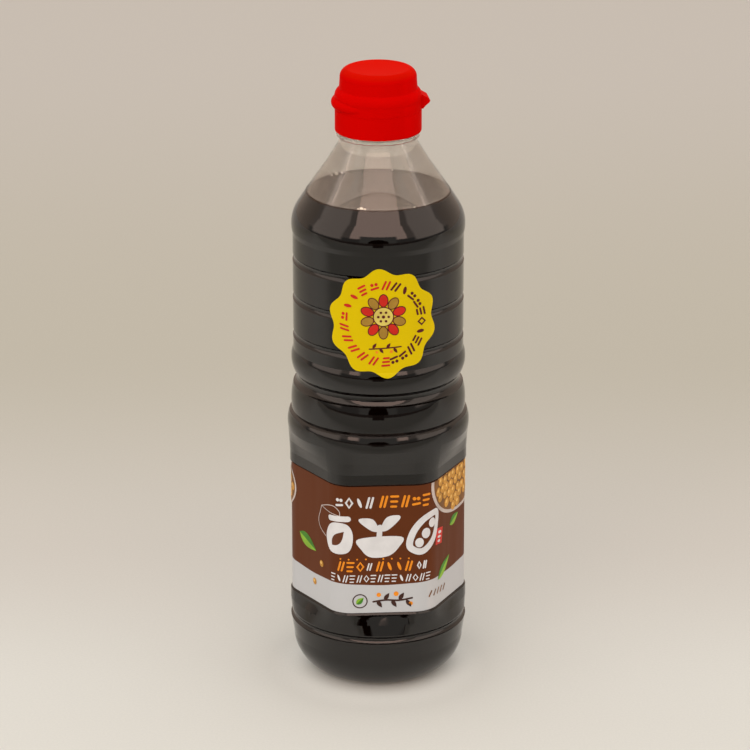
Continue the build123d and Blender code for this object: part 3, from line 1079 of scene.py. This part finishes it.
# %% Pod
POD_EDGE = [(12.6, 29.4), (17.5, 28.4), (23.4, 33.6), (25.8, 42.0)]
POD_EDGE += [(24.4, 45.0), (18.0, 43.4), (13.4, 38.6), (11.2, 32.4)]
draw("white", stroke(POD_EDGE, 3.0, True))
for x, y, size in ((15.6, 32.4, 2.2), (18.8, 36.4, 2.4), (22.2, 40.6, 2.2)):
    draw("white", oval(x, y, size * 0.9, size))
print("white shapes:", len(art["white"][0]))

# %% [markdown]
# Behind the pictograms runs the fine outline of a larger jar, and beside them hangs a red tab with three
# plain ovals.

# %% Fine outline and tab
draw("rim", stroke([(-31.3, 46.9), (-26.6, 48.6), (-22.5, 49.2), (-19.6, 47.3), (-19.4, 44.6)], 0.35))
draw("rim", stroke([(-31.3, 46.9), (-27.2, 46.0), (-19.6, 45.2)], 0.3))
draw("rim", stroke([(-31.3, 46.9), (-32.2, 44.1), (-33.6, 40.1), (-32.3, 36.4), (-28.0, 33.6)], 0.35))
draw("red", poly([(25.6, 36.3), (31.8, 35.4), (30.8, 28.1), (24.7, 29.0)]))
tab_ovals = oval(28.7, 33.9, 1.5, 0.7, -8) + oval(28.2, 31.9, 1.6, 0.55, -8)
draw("white", tab_ovals + oval(27.8, 30.0, 1.3, 0.6, -8), 1)

# %% [markdown]
# A bowl seen from above is a pale rim round a dark hollow, filled with beans in a loose honeycomb. Every bean
# is a golden oval with a lighter spot up on its left. The hollow that shows between them works as their
# shade, so that they read as round.

# %% Bowls of beans
glow_spots = []


def bowl(x, y, half_x, half_y, size):
    draw("rim", oval(x, y, half_x, half_y, 0, 72))
    draw("shade", oval(x, y, half_x * 0.925, half_y * 0.92, 0, 72), 1)
    rows = int(half_y / size)
    for j in range(-rows, rows + 1):
        for i in range(-12, 13):
            bx = x + (i + 0.5 * (j % 2)) * size * 1.95 + luck.uniform(-0.2, 0.2) * size
            by = y + j * size * 1.72 + luck.uniform(-0.2, 0.2) * size
            inside = ((bx - x) / (half_x * 0.85)) ** 2 + ((by - y) / (half_y * 0.84)) ** 2
            if inside < 1.0:
                turn = luck.uniform(-40, 40)
                draw("bean", oval(bx, by, size * 0.95, size * luck.uniform(0.9, 1.04), turn, 16), 2)
                glow_spots.append((bx - size * 0.22, by + size * 0.28, size * 0.36))


bowl(46.5, 57.0, 25.0, 18.5, 2.2)
bowl(-67.0, 48.0, 15.5, 11.0, 2.0)
print("beans in the bowls:", len(glow_spots))

# %% [markdown]
# Loose leaves and beans are scattered round the label. A leaf has a dark and a light half, which is enough
# to make it look folded along its vein.

# %% Leaves and loose beans
LEAVES = (  # from the stalk to the tip, and the width
    (-49.0, 28.8, -35.9, 23.8, 6.0),
    (39.1, 33.4, 47.4, 36.6, 4.2),
    (27.2, 11.6, 38.6, 19.8, 4.8),
    (-84.0, 30.0, -95.0, 24.0, 4.4),
    (78.0, 40.0, 90.0, 45.0, 4.4),
    (96.0, 20.0, 86.0, 14.0, 3.8),
)
LOOSE_BEANS = ((-31.6, 19.3), (-37.1, 9.1), (72.0, 22.0), (-78.0, 12.0), (100.0, 34.0))

for place in LEAVES:
    dark_half, light_half = leaf(*place)
    draw("green", dark_half)
    draw("lime", light_half)
for x, y in LOOSE_BEANS:
    draw("bean", oval(x, y, 1.35, 1.55, 20))
    draw("glow", oval(x - 0.3, y + 0.4, 0.7, 0.7), 1)
print("leaves:", len(LEAVES), "loose beans:", len(LOOSE_BEANS))

# %% [markdown]
# The white band carries a plain ring with a leaf and, where a maker's mark would be, a straight twig with
# small leaves and three dots. Five plain dashes stand in place of the volume.

# %% White band
draw("dark", stroke(oval(-10.4, 5.6, 3.1, 3.1, 0, 16)[0], 0.5, True))
ring_leaf = leaf(-12.0, 4.2, -8.8, 7.2, 2.6)
draw("lime", ring_leaf[0])
draw("green", ring_leaf[1])
draw("dark", stroke([(-4.6, 5.2), (1.0, 5.9), (6.6, 5.6), (12.4, 6.6)], 0.8))
for k, x in enumerate((-3.0, 0.2, 3.4, 6.6, 9.8)):
    side = 1 if k % 2 else -1
    for half in leaf(x, 5.8, x + 2.2, 5.8 + side * 3.4, 1.9):
        draw("dark", half)
draw("orange", oval(-2.2, 8.4, 1.0, 1.0) + oval(5.4, 8.7, 1.1, 1.1) + oval(11.8, 4.0, 0.9, 0.9))
for i in range(5):
    draw("shade", bar((20.6 + 3.0 * i, 6.1 - 0.2 * i), (22.0 + 3.0 * i, 8.2 - 0.2 * i), 0.8))

# %% [markdown]
# The back has a pale panel with nine bars of uneven length, where such a label has its table.

# %% Back panel
draw("rim", poly([(-112.0, 16.0), (-92.0, 16.0), (-92.0, 50.0), (-112.0, 50.0)]))
for i in range(9):
    y = 19.0 + 3.4 * i
    draw("dark", bar((-110.0, y), (-94.0 - 5 * luck.random(), y), 0.8), 1)

# %% [markdown]
# Now the label goes to press. The light spots of the beans come last, as a layer above all others.

# %% Label print
label_faces = print_artwork("label_", art, label_skin, LABEL_LIMITS)
glow_faces = [oval(x, y, size, size, 0, 12) for x, y, size in glow_spots]
label_faces += print_on(
    "label_bean_glow", label_skin, INKS["glow"], glow_faces, 3, LABEL_LIMITS)
print("label print faces:", label_faces)

# %% [markdown]
# ## Seal artwork
# The seal has a flower with ten round petals in red and gold about a small disc with seven dots, a ring of
# plain marks, red on the left and dark on the right, and a small twig below. The origin is its middle.

# %% Seal sheet
SEAL_TURN = 3.4
seal_low, seal_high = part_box("seal_sticker")
seal_middle = (seal_low.z + seal_high.z) / 2
seal_skin = Skin("seal_sticker", SEAL_TURN, 34, seal_middle, seal_middle)
seal_art = {name: [[], [], []] for name in INKS}


def stamp(colour, faces, layer=0):
    seal_art[colour][layer].append(faces)


def polar(radius, turn, middle=0.0):
    return radius * math.cos(math.radians(turn)), middle + radius * math.sin(math.radians(turn))


# %% [markdown]
# Each petal is a coloured oval on a slightly larger dark one, which leaves a thin outline. The disc covers
# the inner ends of the petals.

# %% Flower
FLOWER_Y = 3.2
PETALS = 10

for k in range(PETALS):
    turn = 90 + 360 * k / PETALS
    x, y = polar(7.2, turn, FLOWER_Y)
    stamp("maroon", oval(x, y, 3.0, 2.15, turn, 24))
    stamp("gold" if k % 2 else "red", oval(x, y, 2.6, 1.75, turn, 24), 1)
stamp("maroon", oval(0, FLOWER_Y, 4.5, 4.5, 0, 40), 1)
stamp("yellow", oval(0, FLOWER_Y, 4.05, 4.05, 0, 40), 2)
print("petals:", PETALS)

# %% [markdown]
# The ring of marks uses the small marks of the label, each turned to stand on the circle.

# %% Ring of marks
RING = 17.2
RING_MARKS = {
    "red": [86 + 17.0 * i for i in range(12)],
    "maroon": [72 - 14.6 * i for i in range(11)],
}

for colour, turns in RING_MARKS.items():
    for turn in turns:
        x, y = polar(RING, turn)
        stamp(colour, moved(small_mark(luck.randrange(5), 3.9, 4.2, 0.21), x, y, turn - 90))
print("marks in the ring:", sum(len(turns) for turns in RING_MARKS.values()))

# %% [markdown]
# Below the disc lies a small twig with four leaves and two dots.

# %% Twig
stamp("maroon", stroke([(-6.0, -11.4), (0.0, -11.0), (7.6, -10.6)], 0.55))
for k, x in enumerate((-4.6, -1.6, 1.4, 4.4)):
    side = -1 if k % 2 else 1
    for half in leaf(x, -11.0, x + 1.6, -11.0 + side * 2.3, 1.3):
        stamp("maroon", half)
stamp("orange", oval(-2.8, -12.8, 0.6, 0.6) + oval(3.4, -12.6, 0.7, 0.7))

# %% [markdown]
# The seal is printed like the label, but needs no limits. The dots of the disc come last, on top.

# %% Seal print
seal_faces = print_artwork("seal_", seal_art, seal_skin)
floret = [oval(0, FLOWER_Y, 0.7, 0.7)]
for k in range(6):
    x, y = polar(2.2, 60 * k, FLOWER_Y)
    floret.append(oval(x, y, 0.55, 0.55))
seal_faces += print_on("seal_floret", seal_skin, INKS["maroon"], floret, 3)
print("seal print faces:", seal_faces)
